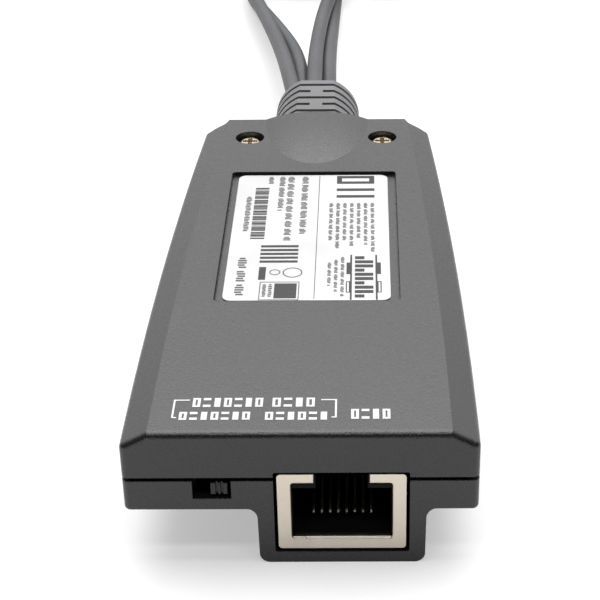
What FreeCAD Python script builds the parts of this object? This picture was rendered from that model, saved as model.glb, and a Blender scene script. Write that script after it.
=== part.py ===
"""Interface module of a KVM switch: a moulded box with a network jack and a slide switch in its
front end, and a ribbed boot at its rear with four cords, put away as two tied hanks.

Frame: +X to the right of the label, +Y from the jack end to the cords, +Z up, millimetres.
The origin is at the middle of the module's own box, at the height of the surface it stands on.
"""
import FreeCAD, Part
import math
import os

V = FreeCAD.Vector
X, Y, Z = V(1, 0, 0), V(0, 1, 0), V(0, 0, 1)

# ---- casing ----
body_length = 88.6        # front face to rear face
front_half_width = 21.17
rear_half_width = 17.8
rear_cut = 3.7            # slanted rear corners, across
rear_cut_length = 1.35    # and along the casing
rear_corner = 0.7         # rounding of their edges
front_corner = 0.8
wall = 1.6
hump_depth = 7.8          # hump below the flat underside
lower_height = 4.36
lower_round = 0.5
parting_gap = 0.5
upper_height = 6.3
bevel_width = 3.35
bevel_drop = 1.8
edge_round = 0.8
tongue_height = 0.7       # of the lower cover's tongue inside the upper cover
tongue_thick = 0.7
seat_gap = 0.1            # between moulded pieces that slide into each other

# ---- label recess, on the upper cover ----
recess_width = 24.7
recess_length = 38.8
recess_front = 30.5       # from the front face
recess_depth = 0.6
label_width = 22.4
label_length = 37.6
label_shift = (-0.1, 0.3) # of the label in its recess
label_thick = 0.15

# ---- casing screws ----
screw_spacing = 20.9
screw_from_rear = 6.9
counterbore_radius = 2.25
head_radius = 1.75
head_height = 1.3
head_dome = 0.6
head_sink = 0.6           # from the cover's top to the head's top
cross_width = 0.6
cross_span = 2.3
cross_depth = 0.8
shank_radius = 1.1
shank_length = 8.0
screw_clearance = 0.2
boss_wall = 1.1

# ---- dome over the boot, on both covers ----
dome_half_width = 8.2
dome_length = 16.4
dome_height = 1.4
lower_dome_height = 3.0
dome_wall = 1.3

# ---- boot ----
boot_length = 16.9        # behind the rear face
boot_x = -0.35
boot_radius = 7.3
boot_end_radius = 7.05
boot_flat = 6.5           # half height between the flats
boot_drop = 0.35          # boot axis below the upper cover's edge
boot_round = 0.6
neck_radius = 5.2
flange_radius = 5.8
flange_thick = 1.8
slot_rows = 5
slot_pitch = 2.65
slot_width = 0.9
slot_depth = 1.5
first_slot = 3.9          # from the rear face to the middle of the first slot
bridge_width = 2.1

# ---- hump and network jack ----
jack_offset = 4.82        # to the right of the middle
jack_width = 15.4
jack_height = 11.0
jack_depth = 17.5
jack_setback = 0.2        # of the shield's face behind the front face
jack_gap = 0.4            # between the shield and the covers
sheet = 0.3
sheet_roll = 0.2          # of the face's edges round its window
lip_depth = 0.87          # of the face's fold along its window's lower edge
hump_wall = 1.45
hump_half_width = 10.0
hump_draft = 0.12
hump_length = 22.0
hump_ramp = 9.0
hump_round = 1.3
hump_fillet = 1.2
side_border = 1.65
bottom_border = 1.5
tab_height = 1.35
notch_width = 6.6
notch_length = 8.0
cavity_width = 11.9
cavity_height = 7.05
cavity_depth = 13.0
latch_width = 6.2
floor_thick = 1.45
contact_count = 8
contact_pitch = 1.016
contact_radius = 0.2
contact_front = 3.9       # from the shield's face to the contacts' front bend
contact_bend_height = 0.75
contact_rear_height = 2.35

# ---- circuit board ----
board_thick = 1.6
board_inset = 0.5
board_front = 2.3
board_rear_gap = 16.6     # from the board to the casing's rear face
post_radius = 1.6
post_x = 13.5
front_post = 14.0         # posts, from the front face
middle_post = 40.0
rear_post_gap = 10.0      # from the board's rear edge

# ---- parts on the board: width, length, height, then place across and from the front face ----
main_chip_size, main_chip_at = (14.0, 14.0, 1.4), (3.0, 46.0)
memory_size, memory_at = (6.0, 8.0, 1.2), (-9.5, 46.0)
magnetics_size, magnetics_at = (12.7, 9.4, 2.6), (4.8, 24.0)
crystal_size, crystal_at, crystal_round = (11.0, 4.5, 2.4), (-6.0, 36.0), 2.2
can_radius, can_height, can_round = 2.0, 2.6, 0.4
can_places = ((-11.0, 24.0), (-11.0, 30.0), (13.0, 50.0))
chip_edge = 0.2
dot_radius, dot_depth, dot_inset = 0.5, 0.1, 1.4
header_size = (5.8, 4.8, 2.7)
header_mouth = (4.4, 1.5)
header_floor = 0.6
header_back = 1.2
header_pitch = 6.4
header_inset = 3.2        # from the board's rear edge to a header's middle
lead_radius = 0.6
lead_bend = 3.0

# ---- slide switch ----
window_width = 4.6
window_height = 2.55
window_from_side = 10.59  # from the casing's side to the window's middle
knob_width = 2.0
knob_height = 1.7
knob_setback = 0.3
knob_gap = 0.45           # between the knob and the window's end at rest
switch_width = 6.8
switch_depth = 3.4
switch_height = 3.3
rib_depth = 0.35
knob_ribs = (0.6, 0.3, 0.5)
knob_play = 0.12
detent = 1.7              # travel of the knob

# ---- cords ----
cord_radius = 1.4
layer = 2.9               # from one cord to the next in a stack
hank_run = 43.0
hank_turn = 8.4
hank_near = 99.0          # from the rear of the boot to the hanks' straight runs
left_column = -18.3
right_column = 1.5
tie_thick = 0.6
tie_width = 9.0
tie_round = 1.5
hank_play = 0.05

# ---- VGA plug ----
vga_x = -19.5
vga_half_height = 7.5
vga_body_width = 18.0
vga_body_length = 24.0
vga_ear_width = 30.8
vga_ear_height = 12.4
vga_ear_length = 9.0
relief_length = 9.0
flange_plate = 1.0
d_width = 16.9
d_height = 8.3
d_round = 2.2
d_slope = 10.0            # degrees
d_reach = 5.9
d_sheet = 0.45
insulator_reach = 0.9
pin_radius = 0.5
pin_reach = 4.6
pin_pitch = 2.29
pin_row_pitch = 1.98
thumb_spacing = 25.0
thumb_radius = 3.1
thumb_length = 10.0
thumb_shaft = 1.5
thumb_thread = 1.4
thumb_reach = 5.4
thumb_play = 0.08
thumb_grooves = 14

# ---- USB plug ----
usb_x = -9.5
usb_width = 15.6
usb_half_height = 4.0
usb_body_length = 21.0
usb_shell_width = 12.0
usb_shell_height = 4.5
usb_reach = 12.0
usb_sheet = 0.32
usb_tongue_height = 1.9
usb_contact = (1.0, 0.25, 7.0)
usb_window = (2.2, 2.4)

# ---- 3.5 mm plugs ----
jackplug_radius = 4.3
jackplug_tail = 3.2
jackplug_grip = 18.0
jackplug_collar = 1.5
pin35_radius = 1.75
pin35_length = 14.0
pin35_shank = 11.2        # up to the notch behind the tip
audio_x = 4.5
mic_x = 14.5

# ---- worked out from the sizes above ----
total_length = body_length + boot_length
front = -total_length / 2
rear = front + body_length
underside = hump_depth
lower_top = underside + lower_height
parting = lower_top + parting_gap
top = parting + upper_height
boot_z = parting - boot_drop
rear_drop = front_half_width - rear_half_width
side_radius = (body_length ** 2 + rear_drop ** 2) / (2 * rear_drop)
screw_y = rear - screw_from_rear
board_rear = body_length - board_rear_gap
window_offset = window_from_side - front_half_width
jack_top = parting + 0.3
jack_bottom = jack_top - jack_height
board_bottom = jack_top
jack_face = front + jack_setback
knob_x = window_offset + window_width / 2 - knob_gap - knob_width / 2
knob_z = lower_top - window_height + 0.4 + knob_height / 2
hank_y = front + total_length + hank_near


# ---- small helpers ----
def face(points):
    return Part.Face(Part.makePolygon([*points, points[0]]))


def box(x0, x1, y0, y1, z0, z1):
    return Part.makeBox(x1 - x0, y1 - y0, z1 - z0, V(x0, y0, z0))


def cyl(radius, length, base, axis=Z):
    return Part.makeCylinder(radius, length, base, axis)


def fuse(first, *others):
    return first.multiFuse(list(others)).removeSplitter()


def along(edge, axis):
    """True for a straight edge parallel to the axis."""
    way = edge.Vertexes[-1].Point - edge.Vertexes[0].Point
    straight = way.Length > 1e-6 and abs(way.Length - edge.Length) < 1e-6 * edge.Length
    return straight and way.cross(axis).Length < 1e-5 * way.Length


def rounded(shape, axis, radius):
    """All straight edges of a prism that run along the axis, rounded."""
    return shape.makeFillet(radius, [e for e in shape.Edges if along(e, axis)])


def block(width, length, height, centre, axis, radius):
    """A box about its centre, with the edges along one axis rounded."""
    x, y, z = centre
    raw = box(x - width / 2, x + width / 2, y - length / 2, y + length / 2,
              z - height / 2, z + height / 2)
    return rounded(raw, axis, radius)


# ---- casing outline ----
def side_x(inset, y):
    """Half width of the casing at a place along it, the side being an arc tangent at the front."""
    reach = side_radius - inset
    return front_half_width - side_radius + math.sqrt(reach ** 2 - (y - front) ** 2)


def plan(z, inset=0.0, end_inset=None, y0=None, y1=None):
    """Closed outline of the casing at a height, moved inwards, with its rear corners cut."""
    ends = inset if end_inset is None else end_inset
    a = front + ends if y0 is None else y0
    b = rear - ends if y1 is None else y1
    cut = rear_cut - (inset - ends)
    c = b - rear_cut_length
    m = (a + c) / 2
    xa, xm, xc = (side_x(inset, y) for y in (a, m, c))
    xb = xc - cut
    right = Part.Arc(V(xa, a, z), V(xm, m, z), V(xc, c, z)).toShape()
    left = Part.Arc(V(-xc, c, z), V(-xm, m, z), V(-xa, a, z)).toShape()
    corners = [V(xc, c, z), V(xb, b, z), V(-xb, b, z), V(-xc, c, z)]
    back = [Part.LineSegment(p, q).toShape() for p, q in zip(corners, corners[1:])]
    nose = Part.LineSegment(V(-xa, a, z), V(xa, a, z)).toShape()
    return Part.Wire([right, *back, left, nose])


def slab(z0, z1, inset=0.0, **ends):
    """Prism of the casing's outline, with its rear and front corners rounded."""
    raw = Part.Face(plan(z0, inset, **ends)).extrude(V(0, 0, z1 - z0))
    tall = [e for e in raw.Edges if along(e, Z)]
    back = [e for e in tall if e.CenterOfMass.y > (front + rear) / 2]
    nose = [e for e in tall if e.CenterOfMass.y < (front + rear) / 2]
    solid = raw.makeFillet(max(rear_corner - inset, 0.4), back)
    tall = [e for e in solid.Edges if along(e, Z)]
    spots = [e.CenterOfMass for e in nose]
    nose = [e for e in tall if min((e.CenterOfMass - s).Length for s in spots) < 1e-3]
    return solid.makeFillet(max(front_corner - inset, 0.3), nose)


def tray(z0, z1):
    """Slab with its lower edges rounded at the sides and the rear."""
    body = slab(z0, z1)
    low = [e for e in body.Edges if e.BoundBox.ZMax < z0 + 1e-3 and e.CenterOfMass.y > front + wall]
    return body.makeFillet(lower_round, low)


def bevelled(z0, z1, inset):
    """Slab whose long sides are bevelled towards its top."""
    start = z1 - bevel_drop
    crown = Part.makeLoft(
        [plan(start, inset), plan(z1, inset + bevel_width, end_inset=inset)], True, True
    )
    trunk = Part.Face(plan(z0, inset)).extrude(V(0, 0, start - z0))
    return fuse(trunk, crown).common(slab(z0, z1, inset))


def dome(height, level, up, shrink=0.0):
    """Half-egg bulge over the boot: an ellipsoid that crosses a level in an ellipse."""
    half, length = dome_half_width - shrink, dome_length - shrink
    depth = 4.0 * height
    tall = depth + height
    grow = 1 / math.sqrt(1 - (depth / tall) ** 2)
    ball = Part.makeSphere(1.0)
    scale = FreeCAD.Matrix()
    scale.scale(V(half * grow, length * grow, tall))
    egg = ball.transformGeometry(scale)
    egg.translate(V(0, rear, level - up * (depth + shrink)))
    keep = box(-half * 3, half * 3, rear - length * 3, rear, -50, 50)
    return egg.common(keep)


# ---- covers ----
def upper_cover():
    outer = bevelled(parting, top, 0.0)
    brow = [e for e in outer.Edges
            if abs(e.BoundBox.YMin - front) < 1e-3 and abs(e.BoundBox.YMax - front) < 1e-3
            and e.BoundBox.ZMin > top - bevel_drop - 1e-3]
    outer = outer.makeFillet(edge_round, brow)
    bulge = dome(dome_height, top, 1).common(box(-50, 50, front, rear, top - 1, top + 50))
    outer = fuse(outer, bulge)
    hollow = bevelled(parting - 1, top - wall, wall)
    vault = dome(dome_height, top, 1, dome_wall)
    vault = vault.common(box(-50, 50, front, rear - wall, parting, top + 50))
    rebate = slab(parting - 1, parting + tongue_height + seat_gap, wall - tongue_thick - seat_gap)
    cover = outer.cut(fuse(hollow, vault)).cut(rebate)
    cover = fuse(cover, *upper_bosses(), *board_clamps()).common(outer)
    cover = cover.cut(fuse(recess(), *upper_screw_holes()))
    cover = cover.cut(jack_aperture()).cut(neck_hole())
    return cover


def recess():
    y = front + recess_front + recess_length / 2
    pocket = block(recess_width, recess_length, 2 * recess_depth, (0, y, top), Z, 0.6)
    return pocket


def screw_places():
    return [V(side * screw_spacing / 2, screw_y, 0) for side in (-1, 1)]


def upper_bosses():
    radius = counterbore_radius + boss_wall
    low = parting + seat_gap
    return [cyl(radius, top - wall - low + 0.5, p + V(0, 0, low)) for p in screw_places()]


def upper_screw_holes():
    head_seat = top - head_sink - head_height
    tools = []
    for p in screw_places():
        tools.append(cyl(counterbore_radius, 10, p + V(0, 0, head_seat)))
        tools.append(cyl(shank_radius + screw_clearance, 20, p + V(0, 0, parting - 5)))
    return tools


def board_clamps():
    """Posts that hold the board down from above."""
    low = board_bottom + board_thick
    places = [(side * post_x, front + y) for side in (-1, 1)
              for y in (front_post, board_rear - rear_post_gap)]
    return [cyl(post_radius, top - wall - low + 0.3, V(x, y, low)) for x, y in places]


def jack_aperture():
    half = jack_width / 2 + jack_gap
    return block(2 * half, 3 * wall, jack_height + 2 * jack_gap,
                 (jack_offset, front + wall / 2, jack_bottom + jack_height / 2), Y, 0.3)


def neck_hole():
    return cyl(neck_radius, 3 * wall, V(boot_x, rear - 1.5 * wall, boot_z), Y)


def hump_block(inset, low):
    """Hump round the jack: drafted sides and a ramp up to the flat underside."""
    high = underside + wall
    rise = high - low
    half = hump_half_width - inset
    y0 = front + (inset if inset else 0.0)
    y1 = front + hump_length - inset
    spread = hump_draft * rise / hump_depth
    x0, x1 = jack_offset - half, jack_offset + half
    ramp = hump_ramp * rise / hump_depth
    foot = [V(x0, y0, low), V(x1, y0, low), V(x1, y1, low), V(x0, y1, low)]
    head = [V(x0 - spread, y0, high), V(x1 + spread, y0, high),
            V(x1 + spread, y1 + ramp, high), V(x0 - spread, y1 + ramp, high)]
    wires = [Part.makePolygon([*ring, ring[0]]) for ring in (foot, head)]
    return Part.makeLoft(wires, True, True)


def hump():
    raw = hump_block(0.0, 0.0)
    low = [e for e in raw.Edges if e.BoundBox.ZMax < 1e-3]
    sides = [e for e in low if along(e, Y)]
    return raw.makeFillet(hump_round, sides)


def lower_cover():
    openings = fuse(jack_aperture(), switch_window())
    outer = fuse(tray(underside, lower_top), hump()).cut(openings)
    roots = [e for e in outer.Edges
             if abs(e.BoundBox.ZMin - underside) < 1e-3 and abs(e.BoundBox.ZMax - underside) < 1e-3
             and along(e, Y) and e.BoundBox.YMax < rear - 40 and e.Length < 40]
    outer = outer.makeFillet(hump_fillet, roots)
    bulge = dome(lower_dome_height, underside, -1)
    outer = fuse(outer, bulge.common(box(-50, 50, front, rear, 0, underside + 1)))
    tongue = slab(lower_top - 0.5, parting + tongue_height, wall - tongue_thick).cut(openings)
    hollow = slab(underside + wall, parting + 5, wall)
    pit = hump_block(hump_wall, hump_wall).common(box(-50, 50, front + wall, rear, 0, underside + 5))
    vault = dome(lower_dome_height, underside, -1, dome_wall)
    vault = vault.common(box(-50, 50, front, rear - wall, 0, lower_top))
    cover = fuse(outer, tongue).cut(fuse(hollow, pit, vault))
    cover = fuse(cover, *lower_bosses(), *board_posts())
    return cover.cut(neck_hole()).cut(fuse(*pilot_holes()))


def lower_bosses():
    radius = shank_radius + boss_wall
    low = underside + wall / 2
    return [cyl(radius, parting + seat_gap - low, p + V(0, 0, low)) for p in screw_places()]


def pilot_holes():
    low = top - head_sink - head_height - shank_length
    return [cyl(shank_radius, 30, p + V(0, 0, low)) for p in screw_places()]


def board_posts():
    low = underside + wall / 2
    far = board_rear - rear_post_gap
    places = [(-post_x, front + front_post), (-post_x, front + far), (post_x, front + far),
              (post_x, front + middle_post)]
    return [cyl(post_radius, board_bottom - low, V(x, y, low)) for x, y in places]


def switch_window():
    x = window_offset
    return box(x - window_width / 2, x + window_width / 2, front - 1, front + 2 * wall,
               lower_top - window_height, parting + 5)


# ---- casing screws and label ----
def casing_screws():
    """Cross-recess self-tapping screws, seen at the bottom of their counterbores."""
    head_top = top - head_sink
    screws = []
    for p in screw_places():
        head = cyl(head_radius, head_height, p + V(0, 0, head_top - head_height))
        rim = [e for e in head.Edges if e.BoundBox.ZMin > head_top - 1e-3]
        head = head.makeFillet(head_dome, rim)
        shank = cyl(shank_radius, shank_length, p + V(0, 0, head_top - head_height - shank_length))
        screw = fuse(head, shank)
        arms = fuse(
            block(cross_span, cross_width, 2 * cross_depth, (p.x, p.y, head_top), Z, 0.1),
            block(cross_width, cross_span, 2 * cross_depth, (p.x, p.y, head_top), Z, 0.1),
        )
        screws.append(screw.cut(arms))
    return Part.makeCompound(screws)


def label():
    x, y = label_shift[0], front + recess_front + recess_length / 2 + label_shift[1]
    z = top - recess_depth + label_thick / 2
    return block(label_width, label_length, label_thick, (x, y, z), Z, 1.2)


# ---- boot ----
def boot_section(y, radius):
    """Round outline with a flat at the top and at the bottom."""
    half = math.sqrt(radius ** 2 - boot_flat ** 2)
    points = {
        "tl": V(-half, y, boot_z + boot_flat), "tr": V(half, y, boot_z + boot_flat),
        "bl": V(-half, y, boot_z - boot_flat), "br": V(half, y, boot_z - boot_flat),
    }
    right = Part.Arc(points["tr"], V(radius, y, boot_z), points["br"]).toShape()
    left = Part.Arc(points["bl"], V(-radius, y, boot_z), points["tl"]).toShape()
    floor = Part.LineSegment(points["br"], points["bl"]).toShape()
    roof = Part.LineSegment(points["tl"], points["tr"]).toShape()
    return Part.Wire([roof, right, floor, left])


def slot_ring(y):
    """A ring-shaped cut of the slots' depth, right round the boot."""
    outer = cyl(2 * boot_radius, slot_width, V(0, y - slot_width / 2, boot_z), Y)
    depth = boot_flat - slot_depth
    core = cyl(boot_radius - slot_depth, 2 * slot_width, V(0, y - slot_width, boot_z), Y)
    flat = box(-boot_radius, boot_radius, y - slot_width, y + slot_width,
               boot_z - depth, boot_z + depth)
    return outer.cut(core.common(flat))


def cable_boot():
    end = rear + boot_length
    body = Part.makeLoft([boot_section(rear, boot_radius), boot_section(end, boot_end_radius)],
                         True, True)
    rim = [e for e in body.Edges if e.BoundBox.YMin > end - 1e-3]
    body = body.makeFillet(boot_round, rim)
    neck = cyl(neck_radius, wall + flange_thick, V(0, rear - wall - flange_thick, boot_z), Y)
    flange = cyl(flange_radius, flange_thick, V(0, rear - wall - flange_thick, boot_z), Y)
    boot = fuse(body, neck, flange)
    for row in range(slot_rows):
        y = rear + first_slot + row * slot_pitch
        tall = box(-bridge_width / 2, bridge_width / 2, y - 5, y + 5, boot_z - 20, boot_z + 20)
        wide = box(-20, 20, y - 5, y + 5, boot_z - bridge_width / 2, boot_z + bridge_width / 2)
        boot = boot.cut(slot_ring(y).cut(tall if row % 2 else wide))
    return boot.translated(V(boot_x, 0, 0))


# ---- network jack ----
def jack_shield():
    """Folded sheet round the jack: open at its back, with a window and a latch notch in its face."""
    x0, x1 = jack_offset - jack_width / 2, jack_offset + jack_width / 2
    y1 = jack_face + jack_depth
    can = rounded(box(x0, x1, jack_face, y1, jack_bottom, jack_top), Y, 0.5)
    inner = box(x0 + sheet, x1 - sheet, jack_face + sheet, y1 + 1, jack_bottom + sheet, jack_top - sheet)
    window = block(jack_width - 2 * side_border, 3, jack_height - bottom_border - tab_height,
                   (jack_offset, jack_face, jack_bottom + bottom_border
                    + (jack_height - bottom_border - tab_height) / 2), Y, 0.35)
    notch = box(jack_offset - notch_width / 2, jack_offset + notch_width / 2,
                jack_face - 1, jack_face + notch_length, jack_top - 2 * tab_height, jack_top + 1)
    can = can.cut(fuse(inner, window, notch))
    can = fuse(can, lip(0.0)).removeSplitter()
    face_y = jack_face + 1e-3
    inside = x0 + side_border - sheet, x1 - side_border + sheet
    edges = [e for e in can.Edges if e.BoundBox.YMax < face_y and e.BoundBox.XMin > inside[0]
             and e.BoundBox.XMax < inside[1] and e.BoundBox.ZMin > jack_bottom + bottom_border - 0.1]
    return can.makeFillet(sheet_roll, edges)


def lip(above):
    """Fold along the lower edge of the shield's window, or the room that it needs in the body."""
    half = jack_width / 2 - side_border - sheet
    high = jack_bottom + bottom_border
    return box(jack_offset - half, jack_offset + half, jack_face + sheet / 2, jack_face + lip_depth,
               high - sheet, high + above)


def jack_body():
    half = jack_width / 2 - sheet
    y0, y1 = jack_face + sheet, jack_face + jack_depth
    low, high = jack_bottom + sheet, jack_top - sheet
    shell = box(jack_offset - half, jack_offset + half, y0, y1, low, high)
    floor = jack_floor()
    mouth = box(jack_offset - cavity_width / 2, jack_offset + cavity_width / 2,
                y0 - 1, y0 + cavity_depth, floor, floor + cavity_height)
    latch = box(jack_offset - latch_width / 2, jack_offset + latch_width / 2,
                y0 - 1, y0 + cavity_depth, floor + cavity_height - 1, high + 1)
    return shell.cut(fuse(mouth, latch, lip(1.0)))


def jack_floor():
    return jack_bottom + sheet + floor_thick


def jack_contacts():
    """Spring wires that rise from the floor, bend back and reach the cavity's rear wall."""
    floor = jack_floor()
    bend = jack_face + contact_front
    back = jack_face + sheet + cavity_depth
    x0 = jack_offset - (contact_count - 1) / 2 * contact_pitch
    path = rounded_path(
        [V(x0, bend + 0.9, floor), V(x0, bend, floor + contact_bend_height),
         V(x0, back, floor + contact_rear_height)], 0.9)
    wire = tube(path, contact_radius)
    block_under = box(x0 - 1, x0 + 1, bend - 1, back, floor, floor + 5)
    wire = wire.common(block_under)
    wires = [wire.translated(V(i * contact_pitch, 0, 0)) for i in range(contact_count)]
    return Part.makeCompound(wires)


# ---- circuit board and what is on it ----
def circuit_board():
    outline = plan(board_bottom, wall + board_inset, y0=front + board_front, y1=front + board_rear)
    return Part.Face(outline).extrude(V(0, 0, board_thick))


def chip(size, place):
    """Flat package with a bevelled rim and a dot at its first corner."""
    width, length, height = size
    x, y = place[0], front + place[1]
    low = board_bottom + board_thick
    body = box(x - width / 2, x + width / 2, y - length / 2, y + length / 2, low, low + height)
    rim = [e for e in body.Edges if e.BoundBox.ZMin > low + height - 1e-3]
    corner = V(x - width / 2 + dot_inset, y - length / 2 + dot_inset, low + height - dot_depth)
    return body.makeChamfer(chip_edge, rim).cut(cyl(dot_radius, 1, corner))


def crystal():
    width, length, height = crystal_size
    x, y = crystal_at
    middle = (x, front + y, board_bottom + board_thick + height / 2)
    return block(width, length, height, middle, Z, crystal_round)


def capacitors():
    low = board_bottom + board_thick
    cans = []
    for x, y in can_places:
        can = cyl(can_radius, can_height, V(x, front + y, low))
        rim = [e for e in can.Edges if e.BoundBox.ZMin > low + can_height - 1e-3]
        cans.append(can.makeFillet(can_round, rim))
    return Part.makeCompound(cans)


def header_places():
    y = front + board_rear - header_inset
    return [V((k - 1.5) * header_pitch, y, board_bottom + board_thick) for k in range(4)]


def cord_headers():
    """White wire headers, open to the rear."""
    shells = []
    for p in header_places():
        width, length, height = header_size
        shell = box(p.x - width / 2, p.x + width / 2, p.y - length / 2, p.y + length / 2,
                    p.z, p.z + height)
        mouth_width, mouth_height = header_mouth
        floor = p.z + header_floor
        mouth = box(p.x - mouth_width / 2, p.x + mouth_width / 2, p.y - header_back, p.y + length,
                    floor, floor + mouth_height)
        shells.append(shell.cut(mouth))
    return Part.makeCompound(shells)


def inner_leads():
    """The cords' stripped ends, from the boot's flange to the headers."""
    start = rear - wall - flange_thick
    leads = []
    for p, cord in zip(header_places(), cord_exits):
        mouth = V(p.x, p.y - header_back, p.z + header_floor + header_mouth[1] / 2)
        a = V(cord[0], start, boot_z + cord[1] / 2)
        gap = (a.y - mouth.y) / 3
        points = [a, V(a.x, a.y - gap, a.z), V(mouth.x, mouth.y + gap, mouth.z), mouth]
        leads.append(tube(rounded_path(points, lead_bend), lead_radius))
    return Part.makeCompound(leads)


# ---- slide switch ----
def switch_frame():
    y0 = front + wall + seat_gap + 0.3
    x, z = window_offset, board_bottom - switch_height / 2
    frame = block(switch_width, switch_depth, switch_height, (x, y0 + switch_depth / 2, z), Y, 0.4)
    travel = knob_width + detent + 2 * knob_play
    slot = box(knob_x + knob_width / 2 + knob_play - travel, knob_x + knob_width / 2 + knob_play,
               y0 - 1, y0 + switch_depth - 0.5,
               knob_z - knob_height / 2 - knob_play, knob_z + knob_height / 2 + knob_play)
    return frame.cut(slot)


def switch_knob():
    """Knob with three upright ribs on its face."""
    y0, y1 = front + knob_setback + rib_depth, front + wall + switch_depth - 0.4
    x0 = knob_x - knob_width / 2
    z0, z1 = knob_z - knob_height / 2, knob_z + knob_height / 2
    stem = box(x0, x0 + knob_width, y0, y1, z0, z1)
    gap = (knob_width - sum(knob_ribs)) / (len(knob_ribs) - 1)
    ribs = []
    for width in knob_ribs:
        ribs.append(rounded(box(x0, x0 + width, y0 - rib_depth, y0 + 0.5, z0, z1), X, 0.12))
        x0 += width + gap
    return fuse(stem, *ribs)


# ---- cords ----
def layer_z(k):
    """Height of the k-th cord of a stack in the hanks, which lie on the tie."""
    return tie_thick + hank_play + cord_radius + k * layer


# Where each cord leaves the boot, to the right of the module's middle and above the boot's axis.
cord_exits = [(-3.95, 1.5), (-2.3, -1.05), (-1.1, 1.5), (1.5, -0.9)]


def rounded_path(points, largest=None):
    """Straight runs joined by tangent arcs, as wide as the runs allow; returns wire and radii."""
    edges, radii, start = [], [], points[0]
    for a, b, c in zip(points, points[1:], points[2:]):
        to_a, to_c = (a - b), (c - b)
        short = min(to_a.Length, to_c.Length)
        to_a.normalize()
        to_c.normalize()
        half_turn = (math.pi - to_a.getAngle(to_c)) / 2
        reach = 0.45 * short
        if largest:
            reach = min(reach, largest * math.tan(half_turn))
        radius = reach / math.tan(half_turn)
        radii.append(radius)
        enter, leave = b + to_a * reach, b + to_c * reach
        bisector = to_a + to_c
        bisector.normalize()
        middle = b + bisector * (radius / math.cos(half_turn) - radius)
        edges.append(Part.LineSegment(start, enter).toShape())
        edges.append(Part.Arc(enter, middle, leave).toShape())
        start = leave
    edges.append(Part.LineSegment(start, points[-1]).toShape())
    return Part.Wire(edges), radii


def tube(path, radius):
    wire, _ = path
    first = wire.Edges[0]
    start = first.valueAt(first.FirstParameter)
    way = first.tangentAt(first.FirstParameter)
    ring = Part.Wire(Part.Circle(start, way, radius).toShape())
    return wire.makePipeShell([ring], True, False)


def route(points):
    """A cord's points, given as x, distance from the boot's end, and height."""
    end = front + total_length
    return [V(x, end + y, z) for x, y, z in points]


def lead_points():
    """From the boot to the hanks, one list for each cord."""
    exits = [(x, 0.0, boot_z + dz) for x, dz in cord_exits]
    low, high = layer_z(0), layer_z(1)
    near = hank_near
    return {
        "vga_cord": [exits[0], (-5.5, 12.0, 13.7), (-8.1, 34.0, 10.6), (-12.5, 60.0, 7.5),
                     (-17.6, 85.0, high), (left_column, near, high)],
        "usb_cord": [exits[1], (-3.3, 12.0, 11.1), (-4.8, 34.0, 9.2), (-9.8, 60.0, 5.0),
                     (-17.0, 85.0, low), (left_column, near, low)],
        "audio_cord": [exits[2], (-1.3, 12.0, 13.6), (-1.55, 34.0, 10.8), (-0.9, 60.0, 7.8),
                       (1.1, 85.0, high), (right_column, near, high)],
        "mic_cord": [exits[3], (1.2, 12.0, 11.3), (0.9, 34.0, 9.4), (1.1, 60.0, 5.3),
                     (1.4, 85.0, low), (right_column, near, low)],
    }


def tail_points():
    """From the hanks to the plugs, one list for each cord."""
    far = hank_near + hank_run
    low, high = layer_z(2), layer_z(3)
    return {
        "vga_cord_end": [(left_column, far, high), (-18.9, far + 8.0, 10.4), (-21.6, far + 19.0, 5.8),
                         (-22.4, far + 31.0, 2.4), (-22.2, far + 43.0, 2.0), (-20.6, far + 55.0, 5.4),
                         (vga_x, vga_start, vga_half_height)],
        "usb_cord_end": [(left_column, far, low), (-17.4, far + 7.0, 7.6), (-11.8, far + 16.5, 5.0),
                         (usb_x, usb_start, usb_half_height)],
        "audio_cord_end": [(right_column, far, high), (1.4, far + 7.0, 10.5), (3.5, far + 16.5, 6.9),
                           (audio_x, audio_start, jackplug_radius)],
        "mic_cord_end": [(right_column, far, low), (2.8, far + 6.5, 7.6), (8.4, far + 14.0, 6.0),
                         (13.2, far + 20.0, 4.7), (mic_x, mic_start, jackplug_radius)],
    }


# Where each cord meets its plug, from the boot's end.
usb_start = hank_near + hank_run + 26.0
audio_start = hank_near + hank_run + 25.0
mic_start = hank_near + hank_run + 28.0
vga_start = hank_near + hank_run + 67.0


def cord_tubes():
    tubes = {}
    for name, points in {**lead_points(), **tail_points()}.items():
        wire, radii = rounded_path(route(points))
        solid = tube((wire, radii), cord_radius)
        ideal = math.pi * cord_radius ** 2 * wire.Length
        print(name, "length %.1f" % wire.Length, "radii", [round(r, 1) for r in radii],
              "volume ratio %.4f" % (solid.Volume / ideal))
        tubes[name] = solid
    return tubes


def racetrack(column, inset):
    """Flat oval of the hank's loops: two runs and two half turns."""
    xm = column + hank_turn
    r = hank_turn + inset
    y0, y1 = hank_y, hank_y + hank_run
    a, b = V(xm - r, y0, 0), V(xm - r, y1, 0)
    c, d = V(xm + r, y1, 0), V(xm + r, y0, 0)
    return Part.Wire([
        Part.LineSegment(a, b).toShape(), Part.Arc(b, V(xm, y1 + r, 0), c).toShape(),
        Part.LineSegment(c, d).toShape(), Part.Arc(d, V(xm, y0 - r, 0), a).toShape(),
    ])


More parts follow.
